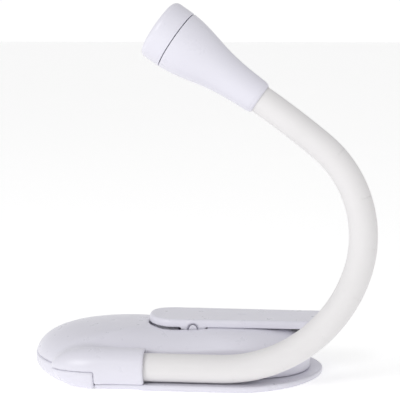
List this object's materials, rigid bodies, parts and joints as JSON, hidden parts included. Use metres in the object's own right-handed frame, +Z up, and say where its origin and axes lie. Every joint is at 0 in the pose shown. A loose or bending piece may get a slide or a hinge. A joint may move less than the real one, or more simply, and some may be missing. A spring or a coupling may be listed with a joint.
{
  "type": "clip on reading lamp",
  "caption": "Battery reading lamp: a rounded base with a sprung clip along its top, a bendable soft-sleeved neck and a small flared spot head.",
  "frame": {"origin": "centre of the base's flat underside", "axes": "+X runs along the base towards the clip's gripping end, +Y points to the side away from the neck's socket, +Z is up"},
  "size_m": [0.1253, 0.0626, 0.1346],
  "materials": {
    "gloss_white_abs": "smooth gloss, cool white",
    "soft_white_silicone": "soft matt white sleeve",
    "steel_wire": "drawn wire",
    "plated_steel": "bright zinc plate",
    "nickel_plate": "nickel plate",
    "cell_jacket": "shrink-wrapped jacket",
    "resistor_body": "tan lacquer",
    "green_board": "green solder mask",
    "black_rubber": "matt moulded rubber",
    "clear_lens": "clear polished lens",
    "bright_reflector": "vacuum-metallised bowl",
    "led_package": "phosphor dome",
    "red_lead": "insulated lead",
    "black_lead": "insulated lead"
  },
  "bodies": {
    "base": {"top_housing": "gloss_white_abs", "bottom_housing": "gloss_white_abs", "cell_1": "cell_jacket", "cell_2": "cell_jacket", "cell_3": "cell_jacket", "contact_plate_negative": "nickel_plate", "contact_link_left": "nickel_plate", "contact_link_right": "nickel_plate", "contact_plate_positive": "nickel_plate", "contact_spring_1": "nickel_plate", "contact_spring_2": "nickel_plate", "contact_spring_3": "nickel_plate", "circuit_board": "green_board", "current_resistor": "resistor_body", "switch_body": "plated_steel", "housing_screw_1": "plated_steel", "housing_screw_2": "plated_steel", "housing_screw_3": "plated_steel", "housing_screw_4": "plated_steel", "clip_pin": "gloss_white_abs", "torsion_spring": "steel_wire", "neck_socket_bush": "nickel_plate", "lead_positive": "red_lead", "neck_sleeve_0": "soft_white_silicone", "neck_core_0": "steel_wire"},
    "clip": {"clip_lever": "gloss_white_abs", "clip_grip_pad": "black_rubber"},
    "battery_cover": {"battery_cover": "gloss_white_abs"},
    "switch_knob": {"switch_knob": "gloss_white_abs"},
    "neck_link_1": {"neck_sleeve_1": "soft_white_silicone", "neck_core_1": "steel_wire"},
    "neck_link_2": {"neck_sleeve_2": "soft_white_silicone", "neck_core_2": "steel_wire"},
    "neck_link_3": {"neck_sleeve_3": "soft_white_silicone", "neck_core_3": "steel_wire"},
    "neck_link_4": {"neck_sleeve_4": "soft_white_silicone", "neck_core_4": "steel_wire"},
    "neck_link_5": {"neck_sleeve_5": "soft_white_silicone", "neck_core_5": "steel_wire"},
    "neck_link_6": {"neck_sleeve_6": "soft_white_silicone", "neck_core_6": "steel_wire"},
    "neck_link_7": {"neck_sleeve_7": "soft_white_silicone", "neck_core_7": "steel_wire"},
    "neck_link_8": {"neck_sleeve_8": "soft_white_silicone", "neck_core_8": "steel_wire"},
    "neck_link_9": {"neck_sleeve_9": "soft_white_silicone", "neck_core_9": "steel_wire"},
    "head": {"neck_sleeve_10": "soft_white_silicone", "neck_core_10": "steel_wire", "head_shell": "gloss_white_abs", "head_bezel": "gloss_white_abs", "head_lens": "clear_lens", "head_reflector": "bright_reflector", "led_board": "green_board", "led": "led_package", "head_bush": "nickel_plate", "head_lead_positive": "red_lead", "head_lead_negative": "black_lead"}
  },
  "joints": [
    {"name": "clip", "type": "hinge", "parent": "base", "child": "clip", "pos_m": [0.0063, 0, 0.0173], "axis": [0, -1, 0], "range_deg": [0, 10], "stiffness_Nm_per_rad": 0.8, "springref_deg": -17.19},
    {"name": "battery_cover", "type": "slide", "parent": "base", "child": "battery_cover", "axis": [-1, 0, 0], "range_m": [0, 0.024]},
    {"name": "switch_knob", "type": "slide", "parent": "base", "child": "switch_knob", "axis": [1, 0, 0], "range_m": [0, 0.003]},
    {"name": "neck_1_sideways", "type": "hinge", "parent": "base", "child": "neck_link_1", "pos_m": [-0.0031, -0.0272, 0.00725], "axis": [0, 0.0698, 0.9976], "range_deg": [-25, 0]},
    {"name": "neck_2_bend", "type": "hinge", "parent": "neck_link_1", "child": "neck_link_2", "pos_m": [0.01375, -0.0272, 0.00725], "axis": [0, -0.9976, 0.0698], "range_deg": [0, 25]},
    {"name": "neck_3_sideways", "type": "hinge", "parent": "neck_link_2", "child": "neck_link_3", "pos_m": [0.03045, -0.02708, 0.00894], "axis": [-0.2591, 0.0674, 0.9635], "range_deg": [-25, 12]},
    {"name": "neck_4_bend", "type": "hinge", "parent": "neck_link_3", "child": "neck_link_4", "pos_m": [0.04568, -0.02659, 0.01594], "axis": [0, -0.9976, 0.0698], "range_deg": [-30, 8]},
    {"name": "neck_5_sideways", "type": "hinge", "parent": "neck_link_4", "child": "neck_link_5", "pos_m": [0.0577, -0.02578, 0.02761], "axis": [-0.8085, 0.0411, 0.5871], "range_deg": [-20, 20]},
    {"name": "neck_6_bend", "type": "hinge", "parent": "neck_link_5", "child": "neck_link_6", "pos_m": [0.06514, -0.02473, 0.0426], "axis": [0, -0.9976, 0.0698], "range_deg": [-30, 8]},
    {"name": "neck_7_sideways", "type": "hinge", "parent": "neck_link_6", "child": "neck_link_7", "pos_m": [0.06654, -0.02356, 0.05924], "axis": [-0.9927, -0.0084, -0.1206], "range_deg": [-20, 20]},
    {"name": "neck_8_bend", "type": "hinge", "parent": "neck_link_7", "child": "neck_link_8", "pos_m": [0.06117, -0.02246, 0.07505], "axis": [0, -0.9976, 0.0698], "range_deg": [-30, 8]},
    {"name": "neck_9_sideways", "type": "hinge", "parent": "neck_link_8", "child": "neck_link_9", "pos_m": [0.04997, -0.02159, 0.08746], "axis": [-0.6267, -0.0544, -0.7774], "range_deg": [-20, 20]},
    {"name": "neck_10_bend", "type": "hinge", "parent": "neck_link_9", "child": "head", "pos_m": [0.03657, -0.02088, 0.09765], "axis": [0, -0.9976, 0.0698], "range_deg": [-30, 10]}
  ]
}
